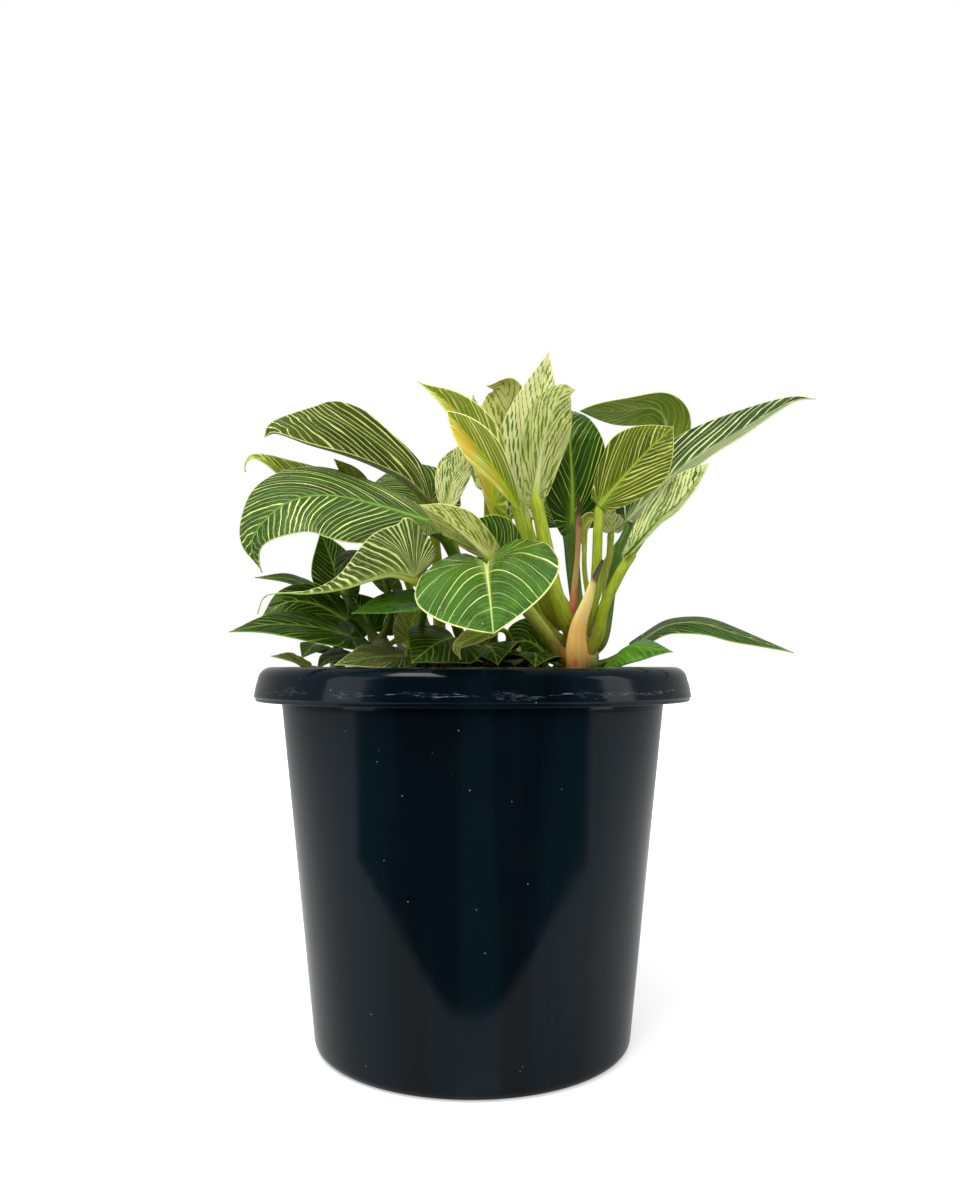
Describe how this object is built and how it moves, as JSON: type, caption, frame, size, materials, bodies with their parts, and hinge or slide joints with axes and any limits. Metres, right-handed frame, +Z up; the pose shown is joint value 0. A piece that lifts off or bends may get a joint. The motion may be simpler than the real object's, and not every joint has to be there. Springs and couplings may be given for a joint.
{
  "type": "potted foliage plant",
  "caption": "Potted foliage plant: striped heart-shaped leaves on stalks rising from short crowns in a soil-filled, rolled-rim nursery pot.",
  "frame": {"origin": "middle of the pot's underside, where it rests", "axes": "+Z up; -Y towards the side seen from the front; +X to the right of that view"},
  "size_m": [0.3327, 0.2966, 0.3952],
  "materials": {
    "pot": "glossy, scuffed at the rim",
    "soil": "loose dark mix",
    "crown": "ringed, satin",
    "sheath": "papery, drying",
    "blush": "papery, reddish",
    "mid": "mid green with cream lines, satin",
    "lime": "lime green, satin",
    "pale": "cream with green streaks, satin",
    "dark": "dark green with fine cream lines, satin",
    "olive": "olive green with pale lines, satin",
    "plain": "plain fresh green, glossy"
  },
  "bodies": {
    "root": {"pot": "pot", "soil": "soil", "crown_right": "crown", "crown_middle": "crown", "crown_rear": "crown", "crown_left": "crown", "crown_low": "crown", "crown_edge": "crown", "crown_shoot": "crown", "sheath_big": "sheath", "sheath_red": "blush", "leaf_heart_front": "mid", "leaf_rolled_near": "lime", "leaf_rolled_far": "lime", "leaf_hooded": "pale", "leaf_tall_cream": "pale", "leaf_cream_underside": "pale", "leaf_dark_upright": "dark", "leaf_back_arch": "mid", "leaf_square_lime": "olive", "leaf_pale_between": "pale", "leaf_long_right": "dark", "leaf_cream_right": "pale", "leaf_arch_right": "plain", "leaf_glossy_right": "plain", "leaf_tip_behind": "lime", "leaf_pale_middle": "pale", "leaf_underside_front": "pale", "leaf_dark_middle": "dark", "leaf_big_left": "dark", "leaf_folded_upper_left": "olive", "leaf_hook_far_left": "lime", "leaf_curled_left": "mid", "leaf_striped_low": "dark", "leaf_curl_under_heart": "lime", "leaf_dark_low_middle": "dark", "leaf_dark_low_right": "dark", "leaf_upright_small": "olive", "leaf_dark_round": "dark", "leaf_narrow_left": "dark", "leaf_fan_left_upper": "dark", "leaf_fan_left_lower": "dark", "leaf_plain_left": "plain", "leaf_dark_fan_middle": "dark", "leaf_olive_small": "olive", "leaf_pale_low": "pale", "leaf_olive_low_left": "olive", "leaf_dark_low_left": "dark", "leaf_round_low_left": "dark", "leaf_pale_tip_low": "lime", "leaf_green_hook": "lime", "leaf_pale_tip_left": "lime", "leaf_dark_behind_left": "dark", "leaf_dark_behind_right": "dark", "leaf_back_tall": "mid", "leaf_back_left_high": "dark", "leaf_back_over_rim": "mid", "leaf_back_right": "dark", "leaf_back_left": "dark", "leaf_back_low": "olive"}
  },
  "joints": []
}
